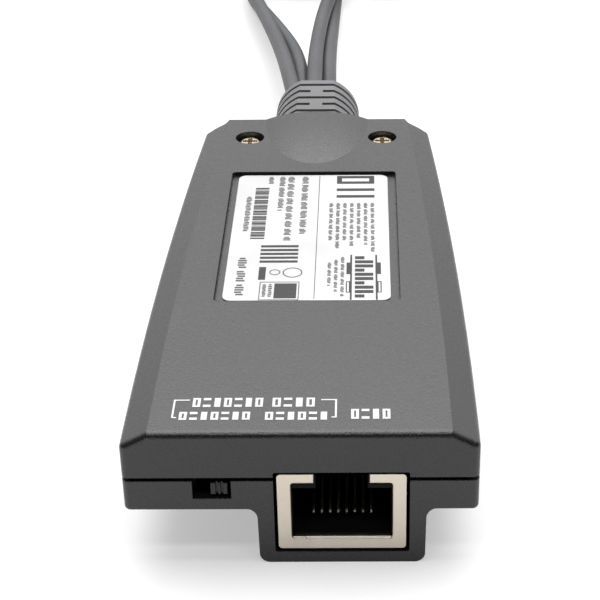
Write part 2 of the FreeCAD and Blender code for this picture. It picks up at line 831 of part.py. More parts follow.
def cord_hank(column):
    """Outer shape of two cords wound round once: the second lap climbs over the near turn."""
    half = layer / 2
    base, mid, high = tie_thick, tie_thick + 2 * layer, tie_thick + 4 * layer
    ring = Part.Face(racetrack(column, half)).cut(Part.Face(racetrack(column, -half)))
    oval = ring.extrude(V(0, 0, 30))
    flat = oval.common(box(-50, 50, hank_y, hank_y + 100, base, mid))
    second = box(column - half, column + half, hank_y, hank_y + hank_run, mid, high)
    far_x = column + 2 * hank_turn
    ramp = face([V(far_x + half, hank_y, base), V(far_x + half, hank_y, mid),
                 V(column + half, hank_y, high), V(column - half, hank_y, high),
                 V(column - half, hank_y, mid), V(column + half, hank_y, mid)])
    climb = oval.common(ramp.extrude(V(0, -100, 0)))
    return fuse(flat, second, climb)


def cord_tie():
    """Strap round both hanks, over the taller stacks and under everything."""
    half = layer / 2
    y = hank_y + hank_run / 2 - tie_width / 2
    left, right = left_column - half, right_column + 2 * hank_turn + half
    high, step = tie_thick + 4 * layer, tie_thick + 2 * layer
    corners = [(left, tie_thick), (right, tie_thick), (right, step),
               (right_column + half, high), (left, high)]
    inner = face([V(x, y, z) for x, z in corners])
    outer = inner.makeOffset2D(tie_thick, 0)
    strap = outer.cut(inner)
    return strap.extrude(V(0, tie_width, 0))


# ---- VGA plug ----
def d_outline(y, shrink, x, z):
    """Rounded D outline of the connector's shell, its wide side up."""
    slope = math.tan(math.radians(d_slope))
    h = d_height / 2 - shrink
    top_half = d_width / 2 - shrink
    low_half = top_half - 2 * h * slope
    raw = face([V(x - top_half, y, z + h), V(x + top_half, y, z + h),
                V(x + low_half, y, z - h), V(x - low_half, y, z - h)])
    return raw, max(d_round - shrink, 0.4)


def d_prism(y0, y1, shrink):
    raw, radius = d_outline(y0, shrink, vga_x, vga_half_height)
    return rounded(raw.extrude(V(0, y1 - y0, 0)), Y, radius)


def vga_front():
    return front + total_length + vga_start + relief_length + vga_body_length


def relief(x, z, start, length, r0, r1):
    """Tapered strain relief behind a plug."""
    y = front + total_length + start
    return Part.makeCone(r0, r1, length, V(x, y, z), Y)


def thumb_axes():
    return [vga_x - thumb_spacing / 2, vga_x + thumb_spacing / 2]


def vga_plug_body():
    y1 = vga_front()
    y0 = y1 - vga_body_length
    z = vga_half_height
    hood = block(vga_body_width, vga_body_length, 2 * vga_half_height,
                 (vga_x, (y0 + y1) / 2, z), Y, 2.5)
    rim = [e for e in hood.Edges if e.BoundBox.YMax < y0 + 1e-3]
    hood = hood.makeFillet(1.2, rim)
    ears = block(vga_ear_width, vga_ear_length, vga_ear_height,
                 (vga_x, y1 - vga_ear_length / 2, z), Y, 1.5)
    tail = relief(vga_x, z, vga_start, relief_length + 1, cord_radius + 0.9, 3.6)
    holes = [cyl(thumb_shaft + thumb_play, 2 * vga_body_length, V(x, y0, z), Y) for x in thumb_axes()]
    grips = [block(8.0, 1.2, 0.8, (vga_x, y0 + 5.0 + 2.4 * k, z + side * vga_half_height), Z, 0.4)
             for k in range(5) for side in (-1, 1)]
    return fuse(hood, ears, tail).cut(fuse(*holes, *grips))


def vga_plug_shell():
    """Plate with its drawn D-shaped collar."""
    y0 = vga_front()
    plate = block(vga_ear_width, flange_plate, vga_ear_height,
                  (vga_x, y0 + flange_plate / 2, vga_half_height), Y, 1.5)
    collar = d_prism(y0, y0 + flange_plate + d_reach, 0.0)
    bore = d_prism(y0 - 1, y0 + 50, d_sheet)
    holes = [cyl(thumb_shaft + thumb_play, 50, V(x, y0 - 5, vga_half_height), Y)
             for x in thumb_axes()]
    return fuse(plate, collar).cut(fuse(bore, *holes))


def vga_plug_insulator():
    y0 = vga_front()
    return d_prism(y0, y0 + flange_plate + insulator_reach, d_sheet)


def vga_plug_pins():
    """Three rows of five pins."""
    y0 = vga_front() + flange_plate + insulator_reach
    pins = []
    for row in (-1, 0, 1):
        shift = pin_pitch / 4 * (-1 if row == 0 else 1)
        for k in range(5):
            x = vga_x + (k - 2) * pin_pitch + shift
            pin = cyl(pin_radius, pin_reach - insulator_reach, V(x, y0, vga_half_height + row * pin_row_pitch), Y)
            tip = [e for e in pin.Edges if e.BoundBox.YMin > y0 + pin_reach - insulator_reach - 1e-3]
            pins.append(pin.makeChamfer(0.2, tip))
    return Part.makeCompound(pins)


def vga_thumbscrew(x):
    """Captive screw: ribbed knob behind the ear, shaft through it, thread in front."""
    ear_back = vga_front() - vga_ear_length
    z = vga_half_height
    knob = cyl(thumb_radius, thumb_length, V(x, ear_back - seat_gap - thumb_length, z), Y)
    rim = [e for e in knob.Edges if e.BoundBox.YMax < ear_back - thumb_length]
    knob = knob.makeChamfer(0.5, rim)
    for k in range(thumb_grooves):
        turn = 2 * math.pi * k / thumb_grooves
        at = V(x + thumb_radius * math.cos(turn), ear_back - 20, z + thumb_radius * math.sin(turn))
        knob = knob.cut(cyl(0.32, 30, at, Y))
    shaft = cyl(thumb_shaft, vga_ear_length + flange_plate + 2 * seat_gap,
                V(x, ear_back - seat_gap, z), Y)
    thread = cyl(thumb_thread, thumb_reach, V(x, vga_front() + flange_plate + seat_gap, z), Y)
    tip = [e for e in thread.Edges if e.BoundBox.YMin > vga_front() + flange_plate + thumb_reach]
    return fuse(knob, shaft, thread.makeChamfer(0.4, tip))


# ---- USB plug ----
def usb_front():
    return front + total_length + usb_start + relief_length + usb_body_length


def usb_plug_body():
    y1 = usb_front()
    y0 = y1 - usb_body_length
    z = usb_half_height
    grip = block(usb_width, usb_body_length, 2 * z, (usb_x, (y0 + y1) / 2, z), Y, 1.8)
    rim = [e for e in grip.Edges if e.BoundBox.YMax < y0 + 1e-3]
    grip = grip.makeFillet(1.2, rim)
    tail = relief(usb_x, z, usb_start, relief_length + 1, cord_radius + 0.6, 3.0)
    grooves = [block(7.0, 1.0, 0.8, (usb_x, y0 + 5.0 + 2.2 * k, z + side * z), Z, 0.4)
               for k in range(5) for side in (-1, 1)]
    return fuse(grip, tail).cut(fuse(*grooves))


def usb_plug_shell():
    """Rectangular tube of sheet with two latch windows above and below."""
    y0 = usb_front()
    z = usb_half_height
    tube_out = block(usb_shell_width, usb_reach, usb_shell_height, (usb_x, y0 + usb_reach / 2, z), Y, 0.5)
    inner = block(usb_shell_width - 2 * usb_sheet, usb_reach + 2, usb_shell_height - 2 * usb_sheet,
                  (usb_x, y0 + usb_reach / 2, z), Y, 0.25)
    width, length = usb_window
    windows = [box(usb_x + side * 2.9 - width / 2, usb_x + side * 2.9 + width / 2,
                   y0 + 5.2, y0 + 5.2 + length, -1, 20) for side in (-1, 1)]
    return tube_out.cut(fuse(inner, *windows))


def usb_tongue_box():
    half = usb_shell_width / 2 - usb_sheet
    low = usb_half_height - usb_shell_height / 2 + usb_sheet
    return usb_x - half, usb_x + half, low, low + usb_tongue_height


def usb_plug_tongue():
    x0, x1, z0, z1 = usb_tongue_box()
    y0 = usb_front()
    tongue = box(x0 + 0.3, x1 - 0.3, y0, y0 + usb_reach - 0.6, z0, z1)
    nose = [e for e in tongue.Edges if e.BoundBox.YMin > y0 + usb_reach - 0.7 and e.BoundBox.ZMin > z1 - 1e-3]
    return tongue.makeChamfer(0.4, nose)


def usb_plug_contacts():
    width, thick, length = usb_contact
    x0, x1, z0, z1 = usb_tongue_box()
    y1 = usb_front() + usb_reach - 1.6
    strips = [box(usb_x + x - width / 2, usb_x + x + width / 2, y1 - length, y1, z1, z1 + thick)
              for x in (-3.5, -1.0, 1.0, 3.5)]
    return Part.makeCompound(strips)


# ---- 3.5 mm plugs ----
def jackplug(x, start):
    """Grip with tapered tail and collar, and the pin with the notch behind its point."""
    y = front + total_length + start
    z = jackplug_radius
    r = jackplug_radius
    tail = 6.0
    profile = [V(0, y, z), V(cord_radius + 0.5, y, z), V(jackplug_tail, y + tail, z),
               V(r, y + tail + 1.5, z), V(r, y + tail + jackplug_grip, z),
               V(r - 1.0, y + tail + jackplug_grip, z),
               V(r - 1.0, y + tail + jackplug_grip + jackplug_collar, z),
               V(0, y + tail + jackplug_grip + jackplug_collar, z)]
    grip = face(profile).revolve(V(0, 0, z), Y, 360)
    y = y + tail + jackplug_grip + jackplug_collar
    p = pin35_radius
    steps = [(0, 0), (p, 0), (p, pin35_shank), (0.9, pin35_shank + 0.7), (1.4, pin35_shank + 1.4),
             (1.2, pin35_shank + 2.1), (0.6, pin35_length), (0, pin35_length)]
    pin = face([V(a, y + b, z) for a, b in steps]).revolve(V(0, 0, z), Y, 360)
    for piece in (grip, pin):
        piece.translate(V(x, 0, 0))
    return grip, pin


def main():
    audio_grip, audio_pin = jackplug(audio_x, audio_start)
    mic_grip, mic_pin = jackplug(mic_x, mic_start)
    left, right = (vga_thumbscrew(x) for x in thumb_axes())
    nodes = {
        "upper_cover": upper_cover(),
        "lower_cover": lower_cover(),
        "casing_screws": casing_screws(),
        "label": label(),
        "cable_boot": cable_boot(),
        "jack_shield": jack_shield(),
        "jack_body": jack_body(),
        "jack_contacts": jack_contacts(),
        "circuit_board": circuit_board(),
        "main_chip": chip(main_chip_size, main_chip_at),
        "memory_chip": chip(memory_size, memory_at),
        "crystal": crystal(),
        "transformer": chip(magnetics_size, magnetics_at),
        "capacitors": capacitors(),
        "cord_headers": cord_headers(),
        "inner_leads": inner_leads(),
        "switch_frame": switch_frame(),
        "switch_knob": switch_knob(),
        **cord_tubes(),
        "left_hank": cord_hank(left_column),
        "right_hank": cord_hank(right_column),
        "cord_tie": cord_tie(),
        "vga_plug_body": vga_plug_body(),
        "vga_plug_shell": vga_plug_shell(),
        "vga_plug_insulator": vga_plug_insulator(),
        "vga_plug_pins": vga_plug_pins(),
        "vga_thumbscrew_left": left,
        "vga_thumbscrew_right": right,
        "usb_plug_body": usb_plug_body(),
        "usb_plug_shell": usb_plug_shell(),
        "usb_plug_tongue": usb_plug_tongue(),
        "usb_plug_contacts": usb_plug_contacts(),
        "audio_plug_grip": audio_grip,
        "audio_plug_pin": audio_pin,
        "mic_plug_grip": mic_grip,
        "mic_plug_pin": mic_pin,
    }
    os.makedirs("parts", exist_ok=True)
    for name, shape in nodes.items():
        shape.exportStep("parts/%s.step" % name)
        b = shape.BoundBox
        print("%-22s solids %d valid %s volume %9.1f  x %.1f..%.1f y %.1f..%.1f z %.2f..%.2f" % (
            name, len(shape.Solids), shape.isValid(), shape.Volume,
            b.XMin, b.XMax, b.YMin, b.YMax, b.ZMin, b.ZMax))


main()
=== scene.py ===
# %% [markdown]
# # A KVM interface module, dressed for rendering
# The object is a flat moulded box. A network jack and a small slide switch sit in its front end,
# and a ribbed boot at its rear lets out four thin cords, which are put away as two tied hanks
# with their plugs behind them. The CAD solids come in as a fixed frame: nothing here moves or
# reshapes them. This file gives them their finishes and adds what is too fine for the solids.

import bmesh
import bpy
import math
from mathutils import Matrix, Vector


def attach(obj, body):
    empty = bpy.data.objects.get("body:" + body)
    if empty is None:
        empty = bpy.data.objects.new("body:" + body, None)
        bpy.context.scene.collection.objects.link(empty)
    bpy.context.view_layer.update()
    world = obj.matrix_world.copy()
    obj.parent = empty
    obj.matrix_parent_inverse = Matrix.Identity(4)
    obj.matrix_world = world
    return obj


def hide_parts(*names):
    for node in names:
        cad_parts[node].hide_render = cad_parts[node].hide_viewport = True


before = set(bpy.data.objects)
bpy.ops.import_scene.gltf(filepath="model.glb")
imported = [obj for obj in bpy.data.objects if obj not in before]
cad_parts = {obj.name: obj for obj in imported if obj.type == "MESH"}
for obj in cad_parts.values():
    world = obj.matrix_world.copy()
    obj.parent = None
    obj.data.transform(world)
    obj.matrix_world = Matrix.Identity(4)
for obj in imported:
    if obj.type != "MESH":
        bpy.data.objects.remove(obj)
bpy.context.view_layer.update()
MM = 0.001

# %% [markdown]
# ## The camera
# The module is looked at from above its jack end, with a long lens. The camera could be aimed by
# a constraint at a target, but three plain turns say more: it faces the object, tips down at it,
# and rolls slightly. The small shift slides the picture on the film without turning the camera,
# so upright edges keep their direction.

# %% Camera
HEADING, TIP, ROLL = 0.30, 30.79, -0.40
CAMERA_PLACE = Vector((7.89, -211.34, 129.57))
LENS, FILM_WIDTH = 99.87, 36.0
SHIFT_X, SHIFT_Y = -0.0988, 0.0235
camera_data = bpy.data.cameras.new("camera")
camera_data.sensor_width = FILM_WIDTH
camera_data.lens = LENS
camera_data.shift_x = SHIFT_X
camera_data.shift_y = SHIFT_Y
camera_data.clip_start, camera_data.clip_end = 0.01, 10.0
camera = bpy.data.objects.new("camera", camera_data)
bpy.context.scene.collection.objects.link(camera)
turn = Matrix.Rotation(math.radians(HEADING), 4, "Z")
tip = Matrix.Rotation(math.radians(90.0 - TIP), 4, "X")
roll = Matrix.Rotation(math.radians(ROLL), 4, "Z")
camera.matrix_world = Matrix.Translation(CAMERA_PLACE * MM) @ turn @ tip @ roll
bpy.context.scene.camera = camera
print("camera at", [round(v, 4) for v in camera.location])

# %% [markdown]
# ## Helpers for materials
# Every finish is a small graph of nodes. Writing each node and each wire in full would hide what
# the finish does, so one helper makes a node and another joins two sockets. Patterns read Object
# coordinates, which are in metres, so a scale of 1000 makes features about a millimetre wide, and
# they stay on the piece when it moves.


# %% Nodes and wires
def new_material(name, color, roughness=0.5, metallic=0.0):
    """A material with a Principled shader, and the shader itself."""
    material = bpy.data.materials.new(name)
    material.use_nodes = True
    shader = material.node_tree.nodes["Principled BSDF"]
    shader.inputs["Base Color"].default_value = (*color, 1.0)
    shader.inputs["Roughness"].default_value = roughness
    shader.inputs["Metallic"].default_value = metallic
    return material, shader


def add_node(material, kind, **settings):
    """A node of that kind with its sockets or settings filled in by name."""
    node = material.node_tree.nodes.new(kind)
    for name, value in settings.items():
        label = name.replace("_", " ").title()
        if label in node.inputs:
            node.inputs[label].default_value = value
        else:
            setattr(node, name, value)
    return node


def wire(material, source, target):
    """Joins an output to an input."""
    material.node_tree.links.new(source, target)


# %% [markdown]
# A noise gives clouds rather than clear lines, and most of its values lie between 0.3 and 0.7.
# Stretching that part lets a finish name the two ends that it drifts between. The bump helper
# also takes a Bevel node's normal, which softens sharp corners for the light alone.

# %% Patterns
NOISE_LOW, NOISE_HIGH = 0.3, 0.7


def noise(material, scale, detail=3.0):
    """A cloud pattern on Object coordinates, in features per metre."""
    place = add_node(material, "ShaderNodeTexCoord")
    cloud = add_node(material, "ShaderNodeTexNoise", scale=scale, detail=detail)
    wire(material, place.outputs["Object"], cloud.inputs["Vector"])
    return cloud


def map_range(material, driver, start, end, low, high, **settings):
    """The driver's start to end stretched to run from low to high."""
    span = add_node(material, "ShaderNodeMapRange", **settings)
    for name, value in (("From Min", start), ("From Max", end), ("To Min", low), ("To Max", high)):
        span.inputs[name].default_value = value
    wire(material, driver, span.inputs["Value"])
    return span.outputs["Result"]


def two_tone(material, driver, color, drift):
    """A colour that drifts a little to either side of the given one."""
    ramp = add_node(material, "ShaderNodeValToRGB")
    dark, light = ramp.color_ramp.elements
    dark.position, light.position = NOISE_LOW, NOISE_HIGH
    dark.color = (*[c * (1 - drift) for c in color], 1.0)
    light.color = (*[min(1.0, c * (1 + drift)) for c in color], 1.0)
    wire(material, driver, ramp.inputs["Fac"])
    return ramp.outputs["Color"]


def bump(material, shader, height, depth, edge):
    """Fine relief, its depth in metres. Edge is the radius of softened corners, if any."""
    relief = add_node(material, "ShaderNodeBump", strength=1.0, distance=depth)
    wire(material, height, relief.inputs["Height"])
    if edge:
        soft = add_node(material, "ShaderNodeBevel", samples=4)
        soft.inputs["Radius"].default_value = edge
        wire(material, soft.outputs["Normal"], relief.inputs["Normal"])
    wire(material, relief.outputs["Normal"], shader.inputs["Normal"])


# %% [markdown]
# ## Two families of finish
# Nearly everything here is either moulded plastic or plated sheet. A mould's steel is etched by
# sparks, and the plastic takes that grain: a noise far finer than a millimetre moves both the
# relief and the gloss, so highlights break up a little. Plating is smoother: its gloss is cloudy
# and its relief hardly there. A slow drift of tone keeps large faces from looking painted.


# %% Moulded plastic and plated metal
def moulded(name, color, roughness, grain=4500.0, depth=0.00003, drift=0.12, edge=0.00015):
    """Moulded plastic: a spark-eroded grain, slight drift of tone and of gloss, softened edges."""
    material, shader = new_material(name, color, roughness)
    slow = noise(material, 60.0)
    tone = two_tone(material, slow.outputs["Fac"], color, drift)
    wire(material, tone, shader.inputs["Base Color"])
    fine = noise(material, grain, 2.0)
    gloss = map_range(material, fine.outputs["Fac"], NOISE_LOW, NOISE_HIGH,
                      roughness - 0.05, roughness + 0.05)
    wire(material, gloss, shader.inputs["Roughness"])
    bump(material, shader, fine.outputs["Fac"], depth, edge)
    return material, shader


def plated(name, color, roughness, drift=0.05, edge=0.0001):
    """Rolled or plated metal: cloudy gloss and a trace of relief."""
    material, shader = new_material(name, color, roughness, 1.0)
    cloud = noise(material, 350.0)
    tone = two_tone(material, cloud.outputs["Fac"], color, drift)
    wire(material, tone, shader.inputs["Base Color"])
    gloss = map_range(material, cloud.outputs["Fac"], NOISE_LOW, NOISE_HIGH,
                      roughness - 0.06, roughness + 0.08)
    wire(material, gloss, shader.inputs["Roughness"])
    fine = noise(material, 6000.0, 2.0)
    bump(material, shader, fine.outputs["Fac"], 0.000004, edge)
    return material, shader


def finish_nodes(material, *names):
    """Gives CAD nodes this material in all their slots."""
    for name in names:
        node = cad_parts[name]
        node.data.materials.clear()
        node.data.materials.append(material)
        for face in node.data.polygons:
            face.material_index = 0
    print(material.name, "on", ", ".join(names))


# %% [markdown]
# ## Housing
# The two covers are near-black plastic. Such a surface has little colour of its own and shows
# what it mirrors, so the base colour stays dark and the specular level is raised: the same cover
# then looks grey where it mirrors something bright and black where it doesn't.

# %% Housing finish
housing, housing_shader = moulded("housing_plastic", (0.012, 0.012, 0.0125), 0.30, depth=0.00004)
housing_shader.inputs["Specular IOR Level"].default_value = 0.75
finish_nodes(housing, "upper_cover", "lower_cover")

# %% [markdown]
# ## Boot, cords and tie
# The boot and the cords' jackets are soft, paler and more matt than the housing, with a coarser
# grain. The jackets get no softened edges, because a tube has none. The tie is a woven strap: no
# gloss and a deep grain.

# %% Boot, cord and tie finishes
boot_plastic, _ = moulded("boot_plastic", (0.165, 0.165, 0.17), 0.5, grain=3000.0)
finish_nodes(boot_plastic, "cable_boot")
jacket, _ = moulded("cord_jacket", (0.072, 0.073, 0.077), 0.5, grain=2200.0, edge=None)
tie_black, _ = moulded("tie_strap", (0.02, 0.02, 0.022), 0.85, grain=2500.0, depth=0.0002)
finish_nodes(tie_black, "cord_tie")

# %% [markdown]
# ## Metals
# The plugs' shells are plain nickel. The jack's shield has a warmer plating, and the screws a
# yellowish one. Contacts that mate with something are gold. All of them come from one function,
# so they differ in colour and roughness only, as real platings do.

# %% Metal finishes
GOLD = (0.62, 0.47, 0.24)
warm_nickel, _ = plated("warm_nickel", (0.78, 0.70, 0.60), 0.32)
finish_nodes(warm_nickel, "jack_shield")
METALS = (  # name, colour, roughness, nodes
    ("nickel_plate", (0.78, 0.77, 0.75), 0.28, ("vga_plug_shell", "usb_plug_shell", "crystal")),
    ("gold_plate", GOLD, 0.3, ("vga_plug_pins", "usb_plug_contacts")),
    ("contact_metal", (0.78, 0.72, 0.60), 0.35, ("jack_contacts",)),
    ("screw_plate", (0.62, 0.52, 0.40), 0.25, ("casing_screws",)),
    ("capacitor_can", (0.7, 0.7, 0.72), 0.3, ("capacitors",)),
)
for name, color, roughness, nodes in METALS:
    metal, _ = plated(name, color, roughness)
    finish_nodes(metal, *nodes)

# %% [markdown]
# ## The 3.5 mm pins
# Each pin is one smooth turned shape whose contacts are parted by black plastic rings, flush with
# the metal. Separate rings would be two more pieces a pin, so the rings are part of the finish:
# a Compare node gives 1 within a short distance of a place along the module and 0 elsewhere, and
# that mask swaps gold for black plastic.

# %% Banded pins
RING_HALF_WIDTH = 0.3


def banded(name, places):
    """Gold with a black insulating ring at each of these places along the module, in mm."""
    material, shader = plated(name, GOLD, 0.3)
    place = add_node(material, "ShaderNodeTexCoord")
    parts = add_node(material, "ShaderNodeSeparateXYZ")
    wire(material, place.outputs["Object"], parts.inputs["Vector"])
    either = add_node(material, "ShaderNodeMath", operation="MAXIMUM")
    for y, either_input in zip(places, either.inputs):
        near = add_node(material, "ShaderNodeMath", operation="COMPARE")
        wire(material, parts.outputs["Y"], near.inputs[0])
        near.inputs[1].default_value = y * MM
        near.inputs[2].default_value = RING_HALF_WIDTH * MM
        wire(material, near.outputs["Value"], either_input)
    mask = either.outputs["Value"]
    bare_gold = shader.inputs["Base Color"].links[0].from_socket
    mixed = add_node(material, "ShaderNodeMix", data_type="RGBA")
    wire(material, mask, mixed.inputs["Factor"])
    wire(material, bare_gold, mixed.inputs[6])
    mixed.inputs[7].default_value = (0.01, 0.01, 0.01, 1.0)
    wire(material, mixed.outputs[2], shader.inputs["Base Color"])
    is_metal = add_node(material, "ShaderNodeMath", operation="SUBTRACT")
    is_metal.inputs[0].default_value = 1.0
    wire(material, mask, is_metal.inputs[1])
    wire(material, is_metal.outputs["Value"], shader.inputs["Metallic"])
    return material


finish_nodes(banded("audio_pin_gold", (249.5, 252.8)), "audio_plug_pin")
finish_nodes(banded("mic_pin_gold", (252.5, 255.8)), "mic_plug_pin")

# %% [markdown]
# ## Jack body and switch
# The jack's body and the switch's frame are matt black and lie in deep shade, where any gloss
# would show as a grey veil, so their specular level is low. The knob is glossier, and its ribs
# catch the light.

# %% Jack and switch finishes
jack_black, jack_shader = moulded("jack_plastic", (0.005, 0.005, 0.005), 0.6, depth=0.00001)
jack_shader.inputs["Specular IOR Level"].default_value = 0.15
finish_nodes(jack_black, "jack_body", "switch_frame")
knob_black, _ = moulded("knob_plastic", (0.02, 0.02, 0.021), 0.22, depth=0.00001)
finish_nodes(knob_black, "switch_knob")

# %% [markdown]
# ## Board and plugs
# The other plastics differ in colour and gloss only. The colours of the sound plugs and of the
# video plug's insulator are the ones that tell such plugs apart on a desk.

# %% Board and plug finishes
PLASTICS = (  # name, colour, roughness, nodes
    ("chip_epoxy", (0.02, 0.02, 0.02), 0.6, ("main_chip", "memory_chip", "transformer")),
    ("solder_mask", (0.02, 0.14, 0.05), 0.3, ("circuit_board",)),
    ("white_nylon", (0.75, 0.74, 0.70), 0.45, ("cord_headers", "usb_plug_tongue")),
    ("lead_insulation", (0.25, 0.25, 0.26), 0.45, ("inner_leads",)),
    ("plug_moulding", (0.10, 0.10, 0.105), 0.5,
     ("vga_plug_body", "usb_plug_body", "vga_thumbscrew_left", "vga_thumbscrew_right")),
    ("vga_blue", (0.03, 0.10, 0.40), 0.4, ("vga_plug_insulator",)),
    ("audio_green", (0.22, 0.50, 0.12), 0.45, ("audio_plug_grip",)),
    ("mic_pink", (0.80, 0.25, 0.35), 0.45, ("mic_plug_grip",)),
)
for name, color, roughness, nodes in PLASTICS:
    plastic, _ = moulded(name, color, roughness)
    finish_nodes(plastic, *nodes)

# %% [markdown]
# ## Label film
# The label is a pale plastic film. It isn't pure white, so that it keeps its tone in bright
# light and the thin print on it stays readable.

# %% Label film finish
label_film, _ = moulded("label_film", (0.66, 0.66, 0.66), 0.45, depth=0.00001)
finish_nodes(label_film, "label")

# %% [markdown]
# ## Printing
# What is printed on the cover and on the label stands for its kind only: rows of plain blocks,
# bars, rings and stripes, with no words or marks. It could be an image or a pattern in a
# material, but thin tiles laid on the surface stay sharp at any distance and follow the module.
# Distances along the module are counted from its front face, as on the solids.

# %% Surfaces that carry print
FRONT = -52.75
COVER_TOP = 18.96
RECESS_DEPTH, LABEL_THICK = 0.6, 0.15
LABEL_TOP = COVER_TOP - RECESS_DEPTH + LABEL_THICK
INK_THICK = 0.02
print("print lies at", COVER_TOP, "and", round(LABEL_TOP, 2), "mm")


# %% Pieces made of tiles
def as_piece(name, bm, material):
    """Turns a bmesh into a piece of the module with its normals outwards."""
    bmesh.ops.recalc_face_normals(bm, faces=bm.faces)
    mesh = bpy.data.meshes.new(name + "_mesh")
    bm.to_mesh(mesh)
    bm.free()
    mesh.materials.append(material)
    piece = bpy.data.objects.new(name, mesh)
    bpy.context.scene.collection.objects.link(piece)
    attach(piece, "module")
    print(name, "has", len(mesh.polygons), "faces")
    return piece


def add_block(bm, x0, x1, y0, y1, middle_z, height):
    """A box between these sides, its middle at that height."""
    middle = Vector(((x0 + x1) / 2, FRONT + (y0 + y1) / 2, middle_z)) * MM
    size = Matrix.Diagonal(Vector(((x1 - x0) * MM, (y1 - y0) * MM, height * MM, 1.0)))
    bmesh.ops.create_cube(bm, size=1.0, matrix=Matrix.Translation(middle) @ size)


def print_tiles(name, tiles, level, material):
    """Flat tiles (x0, x1, y0, y1) as one thin piece on a surface at that height."""
    bm = bmesh.new()
    for tile in tiles:
        add_block(bm, *tile, level + INK_THICK, INK_THICK)
    return as_piece(name, bm, material)


# %% [markdown]
# Two kinds of row stand for lettering. Large letters become frames, pairs of bars and blocks in
# turn. Small type becomes strokes of uneven height, with a gap after every few, because that is
# what small type looks like from a distance. A rectangle's outline is four tiles.


# %% Rows, lines and frames
def frame_tiles(x0, x1, y0, y1, line):
    """The four sides of a rectangle drawn with a line."""
    return [(x0, x1, y0, y0 + line), (x0, x1, y1 - line, y1),
            (x0, x0 + line, y0 + line, y1 - line), (x1 - line, x1, y0 + line, y1 - line)]


def glyph_row(x0, x1, y0, y1, count, fill=0.74, line=0.34):
    """A row of plain shapes side by side: in turn a frame, a pair of bars and a block."""
    tiles = []
    pitch = (x1 - x0) / count
    for k in range(count):
        left = x0 + k * pitch
        right = left + fill * pitch
        if k % 3 == 0:
            tiles += frame_tiles(left, right, y0, y1, line)
        elif k % 3 == 1:
            tiles += [(left, right, y0, y0 + 1.4 * line), (left, right, y1 - 1.4 * line, y1)]
        else:
            tiles.append((left + 0.1, right - 0.1, y0, y1))
    return tiles


def line_along(x0, x1, y0, y1, pitch, word, fill=0.6):
    """A line of small strokes along the label, with a gap in place of each word's last one."""
    strokes = []
    for k in range(int((y1 - y0) / pitch)):
        if k % word == word - 1:
            continue
        high = x1 if k % 3 else x1 - 0.2 * (x1 - x0)
        low = x0 if k % 4 else x0 + 0.15 * (x1 - x0)
        strokes.append((low, high, y1 - (k + fill) * pitch, y1 - k * pitch))
    return strokes


# %% [markdown]
# ### On the cover
# Beside the switch and the jack the cover names their settings in white. Five rows of plain
# shapes stand for the words, and a bracket on each side of the switch's rows joins them.

# %% Cover print
cover_ink, _ = moulded("cover_ink", (0.72, 0.72, 0.72), 0.5, depth=0.00001, edge=None)
COVER_ROWS = (  # the row's two sides, its two ends, and how many shapes it has
    (6.0, 10.95, 3.0, 5.05, 4),
    (-4.15, 3.6, 2.85, 4.5, 6),
    (-14.3, -5.6, 2.9, 4.55, 7),
    (-12.9, -4.2, 5.6, 7.5, 7),
    (-3.4, 2.0, 5.6, 7.5, 4),
)
cover_tiles = [tile for row in COVER_ROWS for tile in glyph_row(*row)]
BRACKET_LINE, BRACKET_NEAR, BRACKET_FAR = 0.22, 3.5, 6.95
for upright, foot, arm in ((-15.2, -14.6, -13.3), (4.3, 3.7, 2.4)):
    inner = upright + math.copysign(BRACKET_LINE, arm - upright)
    cover_tiles += [
        (min(upright, arm), max(upright, arm), BRACKET_FAR, BRACKET_FAR + BRACKET_LINE),
        (min(upright, inner), max(upright, inner), BRACKET_NEAR, BRACKET_FAR),
        (min(upright, foot), max(upright, foot), BRACKET_NEAR - BRACKET_LINE, BRACKET_NEAR),
    ]
print_tiles("cover_print", cover_tiles, COVER_TOP, cover_ink)

# %% [markdown]
# ### The shield's fold
# The jack's shield is folded sheet. Its fold below the window starts with a narrow slope, which
# catches the light as a bright line. A thin plate, turned about X and laid on the fold, gives it.

# %% Slope on the shield's fold, in mm and degrees
SLOPE_MIDDLE = Vector((4.82, -52.38, 3.42))
SLOPE_SIZE = Vector((11.9, 0.42, 0.05))
SLOPE_ANGLE = 43.0
slope_mesh = bmesh.new()
lean_back = Matrix.Rotation(math.radians(SLOPE_ANGLE), 4, "X")
size = Matrix.Diagonal((SLOPE_SIZE * MM).to_4d())
place = Matrix.Translation(SLOPE_MIDDLE * MM)
bmesh.ops.create_cube(slope_mesh, size=1.0, matrix=place @ lean_back @ size)
as_piece("shield_fold_slope", slope_mesh, warm_nickel)

# %% [markdown]
# ### The recess
# The shade inside the label's recess shows as a fine dark line round the label. Four thin plates
# line the recess walls, near-black and matt: painted shade, not the walls' own colour.

# %% Recess shade plates
# Painted shade: a near-black matt finish for the plates that stand in for the shade in the recess.
painted_recess_shade, _ = moulded("painted_recess_shade", (0.004, 0.004, 0.004), 0.9, depth=0.00001, edge=None)
NEAR_WALL, FAR_WALL, SIDE_WALL, PLATE = 30.5, 69.3, 12.35, 0.05
PLATE_MIDDLE, PLATE_HEIGHT = COVER_TOP - 0.31, 0.56
shade_plates = bmesh.new()
for plate in frame_tiles(-SIDE_WALL, SIDE_WALL, NEAR_WALL, FAR_WALL, PLATE):
    add_block(shade_plates, *plate, PLATE_MIDDLE, PLATE_HEIGHT)
as_piece("recess_shade_plates", shade_plates, painted_recess_shade)

# %% [markdown]
# ### On the label, in fine line
# The label has two columns of small type, parted by a thin line, and a framed box. Each row below
# gives a line's two sides, its two ends, the pitch of its strokes and the strokes to a word.

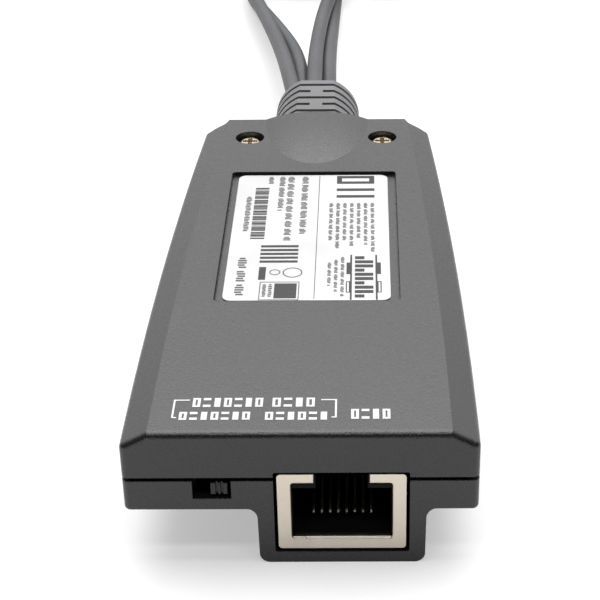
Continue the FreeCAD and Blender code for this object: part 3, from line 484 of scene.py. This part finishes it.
# %% Fine print on the label
grey_ink, _ = moulded("grey_ink", (0.09, 0.09, 0.09), 0.6, depth=0.00001, edge=None)
SMALL_LINES = [
    (-1.7, -0.75, 49.8, 68.4, 0.4, 7),
    (-3.85, -2.85, 47.7, 68.4, 0.4, 6),
    (-5.1, -4.25, 56.9, 68.4, 0.4, 9),
    (-6.75, -6.0, 65.7, 68.4, 0.4, 7),
    (-9.75, -8.95, 50.7, 61.8, 0.5, 40),
    (-9.8, -8.6, 31.6, 43.1, 0.62, 6),
    (-6.1, -5.6, 32.2, 35.7, 0.34, 20),
    (-5.3, -4.8, 32.2, 35.7, 0.5, 20),
]
for k in range(7):
    x = 8.5 - 1.0 * k
    SMALL_LINES.append((x, x + 0.55, 44.2 + (2.2 * k) % 5, 59.6, 0.34, 5 + k % 3))
for k in range(3):
    x = 4.35 - 0.9 * k
    SMALL_LINES.append((x, x + 0.5, 32.0 + 1.5 * k, 43.2 - 0.8 * k, 0.34, 6))
fine = [tile for line in SMALL_LINES for tile in line_along(*line)]
fine += [(0.84, 0.94, 31.8, 68.6), *frame_tiles(-6.5, -1.15, 31.5, 36.35, 0.12)]
print_tiles("label_fine_print", fine, LABEL_TOP, grey_ink)

# %% [markdown]
# Two rings fill the place of a round sign. A ring is the easiest thing to spin: a small upright
# rectangle goes once round an axis, and use_merge closes it on itself.

# %% Rings on the label
RING_STEPS = 40


def ring(x, y, radius, line, level):
    """A flat ring: a small upright rectangle spun about the ring's middle."""
    bm = bmesh.new()
    middle = Vector((x, FRONT + y, level)) * MM
    corners = [(radius - line, 0.5), (radius, 0.5), (radius, 1.5), (radius - line, 1.5)]
    verts = [bm.verts.new(middle + Vector((out, 0.0, up * INK_THICK)) * MM) for out, up in corners]
    edges = [bm.edges.new((verts[k - 1], verts[k])) for k in range(4)]
    bmesh.ops.spin(bm, geom=verts + edges, cent=middle, axis=(0, 0, 1), angle=math.tau,
                   steps=RING_STEPS, use_merge=True)
    return bm


as_piece("label_ring_large", ring(-2.2, 38.9, 1.35, 0.16, LABEL_TOP), grey_ink)
as_piece("label_ring_small", ring(-4.6, 39.0, 0.75, 0.14, LABEL_TOP), grey_ink)

# %% [markdown]
# ### On the label, in bold
# The bold print is a frame with two bars, a ladder of five bars, two solid blocks, a wide panel
# of uneven bars between two rules, and a stripe code. The code runs through a short list of
# widths again and again, with two widths of gap, so it looks random and stays short to write.

# %% Bold print on the label, apart from the stripes
dark_ink, _ = moulded("dark_ink", (0.030, 0.027, 0.027), 0.6, depth=0.00001, edge=None)
framed = frame_tiles(3.5, 9.1, 66.0, 68.6, 0.75)
under_it = [(3.5, 9.1, 63.6, 64.4), (3.5, 9.1, 61.4, 62.2)]
ladder = [(-6.85, -1.6, 46.1 - 1.1 * k, 46.7 - 1.1 * k) for k in range(5)]
blocks = [(-6.8, -5.85, 36.95, 40.45), (-4.5, -1.5, 31.95, 35.9)]
rules = [(5.65, 5.9, 31.5, 43.8), (9.1, 9.35, 31.5, 43.8)]
ears = [(5.15, 5.65, 38.4, 41.6), (9.35, 9.85, 38.4, 41.6)]
ears += frame_tiles(5.1, 5.65, 33.4, 36.4, 0.15) + frame_tiles(9.35, 9.9, 33.4, 36.4, 0.15)
bold = framed + under_it + ladder + blocks + rules + ears
PANEL_START, PANEL_PITCH, PANEL_BAR = 43.4, 1.17, 0.8
for k in range(10):
    y = PANEL_START - PANEL_PITCH * k
    bold.append((6.3, 8.8 if k % 3 else 7.6, y - PANEL_BAR, y))

# %% Stripe code
STRIPES = (0.5, 0.22, 0.36, 0.5, 0.22, 0.36, 0.22, 0.5, 0.36, 0.22)
STRIPE_COUNT, NARROW_GAP, WIDE_GAP = 29, 0.14, 0.34
STRIPES_LEFT, STRIPES_RIGHT, STRIPES_START = -8.55, -6.55, 64.7
y = STRIPES_START
for k in range(STRIPE_COUNT):
    wide = STRIPES[k % len(STRIPES)]
    bold.append((STRIPES_LEFT, STRIPES_RIGHT, y - wide, y))
    y -= wide + (NARROW_GAP if k % 3 else WIDE_GAP)
print_tiles("label_bold_print", bold, LABEL_TOP, dark_ink)
print("stripes end at", round(y, 2), "mm from the front")

# %% [markdown]
# ## The cords
# Each cord is one smooth curve from the boot, through its hank, to its plug. It could be swept
# along straight runs and arcs, but a limp cord has neither. A NURBS spline of order 3 rounds every
# corner of its control points, as a limp cord does. The hank's loop is fourteen points on the
# same spline: two straight runs and two half turns, the near one climbing so that the second lap
# lies on the first. Distances along the module are counted from the boot's end here.

# %% Cord sizes
CORD_RADIUS = 1.4
LAYER = 2.9
HANK_RUN, HANK_TURN, HANK_NEAR = 43.0, 8.4, 99.0
HANK_FAR = HANK_NEAR + HANK_RUN
LEFT_COLUMN, RIGHT_COLUMN = -18.3, 1.5
BOOT_END, BOOT_Z = 52.75, 12.31
TIE_UNDER = 0.65
print("hanks from", BOOT_END + HANK_NEAR, "to", BOOT_END + HANK_FAR, "mm")


# %% The hank's loop
def layer_z(k):
    """Height of the k-th cord of a stack in the hanks, which lies on the tie's lower side."""
    return TIE_UNDER + CORD_RADIUS + k * LAYER


def half_turn(column, near_or_far, first_angle, heights):
    """Four control points round the end of a hank, 45 degrees apart."""
    out = HANK_TURN / math.cos(math.radians(22.5))
    points = []
    for step, height in enumerate(heights):
        angle = math.radians(first_angle - 45 * step)
        x = column + HANK_TURN + out * math.cos(angle)
        points.append((x, near_or_far + out * math.sin(angle), height))
    return points


def lap(column, k):
    """The hank's loop from one layer up to two layers higher."""
    reach = HANK_TURN * math.tan(math.radians(22.5))
    low, high = layer_z(k), layer_z(k + 2)
    climb = [low + (high - low) * (step + 0.5) / 4 for step in range(4)]
    across = column + 2 * HANK_TURN
    points = [(column, HANK_NEAR + reach, low), (column, HANK_FAR - reach, low)]
    points += half_turn(column, HANK_FAR, 157.5, [low] * 4)
    points += [(across, HANK_FAR - reach, low), (across, HANK_NEAR + reach, low)]
    points += half_turn(column, HANK_NEAR, -22.5, climb)
    points += [(column, HANK_NEAR + reach, high), (column, HANK_FAR - reach, high)]
    return points


# %% [markdown]
# Each route is a lead from the boot to its hank, the hank's column and layer, and a tail from the
# hank to the plug. The points are control points: the cord passes near them, not through them.

# %% Cord routes
routes = {
    "vga_cord": (
        [(-3.95, 0.0, BOOT_Z + 1.5), (-5.5, 12.0, 13.7), (-8.1, 34.0, 10.6), (-12.5, 60.0, 7.5),
         (-17.6, 85.0, layer_z(1)), (LEFT_COLUMN, HANK_NEAR, layer_z(1))],
        (LEFT_COLUMN, 1),
        [(LEFT_COLUMN, HANK_FAR, layer_z(3)), (-18.9, 150.0, 10.4), (-21.6, 161.0, 5.8),
         (-22.4, 173.0, 2.4), (-22.2, 185.0, 2.0), (-20.6, 197.0, 5.4), (-19.5, 209.0, 7.5)],
    ),
    "usb_cord": (
        [(-2.3, 0.0, BOOT_Z - 1.05), (-3.3, 12.0, 11.1), (-4.8, 34.0, 9.2), (-9.8, 60.0, 5.0),
         (-17.0, 85.0, layer_z(0)), (LEFT_COLUMN, HANK_NEAR, layer_z(0))],
        (LEFT_COLUMN, 0),
        [(LEFT_COLUMN, HANK_FAR, layer_z(2)), (-17.4, 149.0, 7.6), (-11.8, 158.5, 5.0),
         (-9.5, 168.0, 4.0)],
    ),
    "audio_cord": (
        [(-1.1, 0.0, BOOT_Z + 1.5), (-1.3, 12.0, 13.6), (-1.55, 34.0, 10.8), (-0.9, 60.0, 7.8),
         (1.1, 85.0, layer_z(1)), (RIGHT_COLUMN, HANK_NEAR, layer_z(1))],
        (RIGHT_COLUMN, 1),
        [(RIGHT_COLUMN, HANK_FAR, layer_z(3)), (1.4, 149.0, 10.5), (3.5, 158.5, 6.9),
         (4.5, 167.0, 4.3)],
    ),
    "mic_cord": (
        [(1.5, 0.0, BOOT_Z - 0.9), (1.2, 12.0, 11.3), (0.9, 34.0, 9.4), (1.1, 60.0, 5.3),
         (1.4, 85.0, layer_z(0)), (RIGHT_COLUMN, HANK_NEAR, layer_z(0))],
        (RIGHT_COLUMN, 0),
        [(RIGHT_COLUMN, HANK_FAR, layer_z(2)), (2.8, 148.5, 7.6), (8.4, 156.0, 6.0),
         (13.2, 162.0, 4.7), (14.5, 170.0, 4.3)],
    ),
}

# %% [markdown]
# A curve with a bevel depth is a tube of that radius. The spline's order and end settings come
# after its points: set on an empty spline they fall back to straight runs.

# %% Make the cords
def make_cord(name, lead, hank, tail):
    """One NURBS curve through the lead, the hank's loop and the tail, with a round section."""
    points = [*lead, *lap(*hank), *tail]
    curve = bpy.data.curves.new(name + "_line", "CURVE")
    curve.dimensions = "3D"
    curve.bevel_depth = CORD_RADIUS * MM
    curve.bevel_resolution = 5
    curve.resolution_u = 10
    curve.use_fill_caps = True
    spline = curve.splines.new("NURBS")
    spline.points.add(len(points) - 1)
    for place, (x, y, z) in zip(spline.points, points):
        place.co = (x * MM, (BOOT_END + y) * MM, z * MM, 1.0)
    spline.order_u = 3
    spline.use_endpoint_u = True
    piece = bpy.data.objects.new(name + "_piece", curve)
    bpy.context.scene.collection.objects.link(piece)
    curve.materials.append(jacket)
    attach(piece, "module")
    hank_node = "left_hank" if hank[0] == LEFT_COLUMN else "right_hank"
    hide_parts(name, name + "_end", hank_node)
    return piece


for name, (lead, hank, tail) in routes.items():
    piece = make_cord(name, lead, hank, tail)
    x, y, z = lead[0]
print("cords", len(routes), "diameter", 2 * CORD_RADIUS, "mm")

# %% [markdown]
# ## Floor
# The module lies on a plain pale table. A Light Path node tells what kind of ray has met it, and
# the table is paler for the camera and for mirror rays than for the light that it throws back at
# the module. It also has a little glow of its own for them. So it reads as white, keeps the
# module's shadow, and doesn't flood the module's lower faces with light.

# %% Floor
FLOOR_HALF_SIZE = 1.0
FLOOR_LIT, FLOOR_SEEN = 0.35, 0.62
GLOW_MIRRORED, GLOW_SEEN = 0.155, 0.42
floor_mesh = bpy.data.meshes.new("floor")
bm = bmesh.new()
bmesh.ops.create_grid(bm, x_segments=1, y_segments=1, size=FLOOR_HALF_SIZE)
bm.to_mesh(floor_mesh)
bm.free()
floor = bpy.data.objects.new("floor", floor_mesh)
bpy.context.scene.collection.objects.link(floor)
table_white, table_shader = new_material("table_white", (FLOOR_SEEN,) * 3, 0.6)
rays = add_node(table_white, "ShaderNodeLightPath")
looked_at = add_node(table_white, "ShaderNodeMath", operation="MAXIMUM")
wire(table_white, rays.outputs["Is Camera Ray"], looked_at.inputs[0])
wire(table_white, rays.outputs["Is Glossy Ray"], looked_at.inputs[1])
tone = add_node(table_white, "ShaderNodeMix", data_type="RGBA")
tone.inputs[6].default_value = (FLOOR_LIT, FLOOR_LIT, FLOOR_LIT, 1.0)
tone.inputs[7].default_value = (FLOOR_SEEN, FLOOR_SEEN, FLOOR_SEEN, 1.0)
wire(table_white, looked_at.outputs["Value"], tone.inputs["Factor"])
wire(table_white, tone.outputs[2], table_shader.inputs["Base Color"])
lift = map_range(table_white, rays.outputs["Is Camera Ray"], 0.0, 1.0, GLOW_MIRRORED, GLOW_SEEN)
glow = add_node(table_white, "ShaderNodeMath", operation="MULTIPLY")
wire(table_white, lift, glow.inputs[0])
wire(table_white, looked_at.outputs["Value"], glow.inputs[1])
table_shader.inputs["Emission Color"].default_value = (1, 1, 1, 1)
wire(table_white, glow.outputs["Value"], table_shader.inputs["Emission Strength"])
floor_mesh.materials.append(table_white)
print("floor", 2 * FLOOR_HALF_SIZE, "m square")

# %% [markdown]
# ## Surroundings
# A near-black plastic shows mostly what it mirrors, so the sky round it matters more than the
# lamps. It is bright behind the module, where the cover mirrors it, brighter still higher up, and
# dark on the camera's side, which leaves a dark line along the front edge. The change is smooth,
# from one value of the direction's Y to another. The camera itself sees plain white.

# %% World
SKY_START, SKY_END = -0.25, 0.65
SKY_DARK, SKY_BRIGHT, SKY_RISE = 0.04, 0.74, 1.5
world = bpy.data.worlds.new("studio")
bpy.context.scene.world = world
world.use_nodes = True
sky = world.node_tree.nodes["Background"]
sky.inputs["Color"].default_value = (1, 1, 1, 1)
direction = add_node(world, "ShaderNodeTexCoord")
parts = add_node(world, "ShaderNodeSeparateXYZ")
wire(world, direction.outputs["Generated"], parts.inputs["Vector"])
behind = map_range(world, parts.outputs["Y"], SKY_START, SKY_END, SKY_DARK, SKY_BRIGHT,
                   interpolation_type="SMOOTHSTEP")
higher = add_node(world, "ShaderNodeMath", operation="MULTIPLY_ADD")
wire(world, parts.outputs["Z"], higher.inputs[0])
higher.inputs[1].default_value = SKY_RISE
higher.inputs[2].default_value = 1.0
level = add_node(world, "ShaderNodeMath", operation="MULTIPLY")
wire(world, behind, level.inputs[0])
wire(world, higher.outputs["Value"], level.inputs[1])
seen = add_node(world, "ShaderNodeLightPath")
choice = add_node(world, "ShaderNodeMix")
wire(world, seen.outputs["Is Camera Ray"], choice.inputs["Factor"])
wire(world, level.outputs["Value"], choice.inputs["A"])
choice.inputs["B"].default_value = 1.0
wire(world, choice.outputs["Result"], sky.inputs["Strength"])
print("sky from", SKY_DARK, "to", round(SKY_BRIGHT * (1 + SKY_RISE), 2))

# %% [markdown]
# ## Lamps
# Three soft boxes give the light: one overhead, one high behind, and a narrow one in front that
# puts a line of light on the jack's metal. Wide lamps close to the module give soft shadows.


# %% Lamps
def soft_box(name, place, target, size, power):
    """A rectangular soft box at one point, aimed at another. Size in metres, power in watts."""
    data = bpy.data.lights.new(name, "AREA")
    data.shape = "RECTANGLE"
    data.size, data.size_y = size
    data.energy = power
    lamp = bpy.data.objects.new(name, data)
    bpy.context.scene.collection.objects.link(lamp)
    aim = (Vector(target) - Vector(place)).to_track_quat("-Z", "Y")
    lamp.matrix_world = Matrix.Translation(place) @ aim.to_matrix().to_4x4()
    print(name, power, "W")
    return lamp


soft_box("overhead", (0.0, 0.1, 0.9), (0.0, 0.0, 0.0), (1.2, 0.5), 6.5)
soft_box("high_behind", (0.0, 0.75, 0.85), (0.0, 0.0, 0.0), (1.0, 0.35), 2.7)
soft_box("front_strip", (0.0, -0.45, 0.95), (0.0, -0.05, 0.0), (1.2, 0.12), 2.4)
bpy.context.scene.view_settings.view_transform = "Standard"
